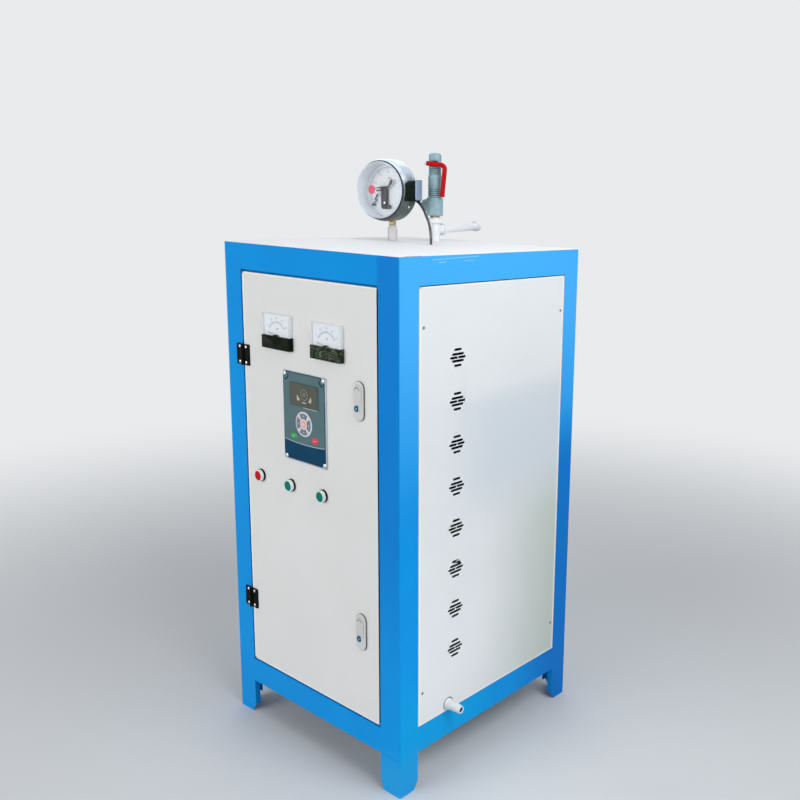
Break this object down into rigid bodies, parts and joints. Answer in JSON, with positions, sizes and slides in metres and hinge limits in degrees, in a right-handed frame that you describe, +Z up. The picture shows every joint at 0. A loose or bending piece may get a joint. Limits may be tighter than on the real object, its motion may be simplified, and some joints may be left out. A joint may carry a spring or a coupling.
{
  "type": "industrial boiler",
  "caption": "Free-standing electric steam boiler cabinet on folded legs, with a hinged control door, contact pressure gauge, safety valve and blow-down pipe.",
  "frame": {"origin": "on the floor under the centre of the bounding box, drain and outlet pipes counted", "axes": "+X to the right as seen from the door, +Y to the back, away from the door, +Z up"},
  "size_m": [0.645, 0.6564, 1.427],
  "materials": {
    "frame_blue": "glossy blue powder coat",
    "panel_white": "off-white powder coat",
    "door_grey": "light grey powder coat",
    "floor_sheet": "zinc-coated sheet, dull",
    "jacket": "plain silver-grey jacket",
    "pipe_steel": "plain steel pipe",
    "pipe_painted": "pale painted pipe and fitting",
    "drain_steel": "threaded steel pipe end",
    "valve_casting": "grey-green cast body, satin",
    "brass": "satin brass",
    "lever_red": "red painted rod",
    "gauge_case": "dark grey-green painted case",
    "gauge_ring": "polished ring",
    "gauge_glass": "clear window",
    "gauge_dial": "matt white dial",
    "terminal_black": "black moulding",
    "terminal_grey": "grey cover",
    "cable_black": "black cable sheath",
    "hinge_black": "black coated hinge",
    "meter_body": "pale dial with a black lower band",
    "meter_clear": "clear moulded cover",
    "controller_face": "slate faced plate with screen and keys",
    "controller_housing": "black housing",
    "button_black": "black body",
    "button_bezel": "white ring",
    "button_red": "red lens",
    "button_green": "green lens",
    "lock_grey": "satin silver-grey die casting"
  },
  "bodies": {
    "cabinet": {"post_front_left": "frame_blue", "post_front_right": "frame_blue", "post_back_left": "frame_blue", "post_back_right": "frame_blue", "rails_top": "frame_blue", "rails_bottom": "frame_blue", "top_plate": "panel_white", "floor_plate": "floor_sheet", "panel_left": "panel_white", "panel_right": "panel_white", "panel_back": "panel_white", "hinge_leaves_post": "hinge_black", "boiler_vessel": "jacket", "vessel_ring": "floor_sheet", "drain_pipe": "drain_steel", "gauge_socket": "pipe_steel", "gauge_stem": "brass", "gauge_case": "gauge_case", "gauge_ring": "gauge_ring", "gauge_window": "gauge_glass", "gauge_dial": "gauge_dial", "terminal_box": "terminal_black", "terminal_cover": "terminal_grey", "gauge_cable": "cable_black", "steam_tee": "pipe_painted", "outlet_pipe": "pipe_painted", "valve_nipple": "brass", "valve_body": "valve_casting", "valve_bonnet": "valve_casting", "valve_cap": "valve_casting"},
    "door": {"door_leaf": "door_grey", "hinge_leaves_door": "hinge_black", "meter_left": "meter_body", "meter_right": "meter_body", "meter_covers": "meter_clear", "controller": "controller_face", "controller_box": "controller_housing", "button_bodies": "button_black", "button_bezels": "button_bezel", "lock_upper": "lock_grey", "lock_lower": "lock_grey"},
    "button_red": {"button_red": "button_red"},
    "button_green_left": {"button_green_left": "button_green"},
    "button_green_right": {"button_green_right": "button_green"},
    "valve_lever": {"valve_lever": "lever_red"},
    "lock_handle_upper": {"lock_handle_upper": "lock_grey"},
    "lock_handle_lower": {"lock_handle_lower": "lock_grey"}
  },
  "joints": [
    {"name": "door_hinge", "type": "hinge", "parent": "cabinet", "child": "door", "pos_m": [-0.2575, -0.31998, 0.32], "axis": [0, 0, -1], "range_deg": [0, 110]},
    {"name": "valve_lever_hinge", "type": "hinge", "parent": "cabinet", "child": "valve_lever", "pos_m": [-0.09797, 0.13986, 1.3975], "axis": [0.6157, -0.788, 0], "range_deg": [0, 20]},
    {"name": "lock_handle_lower_hinge", "type": "hinge", "parent": "door", "child": "lock_handle_lower", "pos_m": [0.156, -0.31948, 0.3586], "axis": [1, 0, 0], "range_deg": [0, 35]},
    {"name": "lock_handle_upper_hinge", "type": "hinge", "parent": "door", "child": "lock_handle_upper", "pos_m": [0.156, -0.31948, 0.8851], "axis": [1, 0, 0], "range_deg": [0, 35]},
    {"name": "button_red_slide", "type": "slide", "parent": "door", "child": "button_red", "axis": [0, 1, 0], "range_m": [0, 0.003], "stiffness_N_per_m": 1200, "springref_m": -0.001},
    {"name": "button_green_left_slide", "type": "slide", "parent": "door", "child": "button_green_left", "axis": [0, 1, 0], "range_m": [0, 0.003], "stiffness_N_per_m": 1200, "springref_m": -0.001},
    {"name": "button_green_right_slide", "type": "slide", "parent": "door", "child": "button_green_right", "axis": [0, 1, 0], "range_m": [0, 0.003], "stiffness_N_per_m": 1200, "springref_m": -0.001}
  ]
}
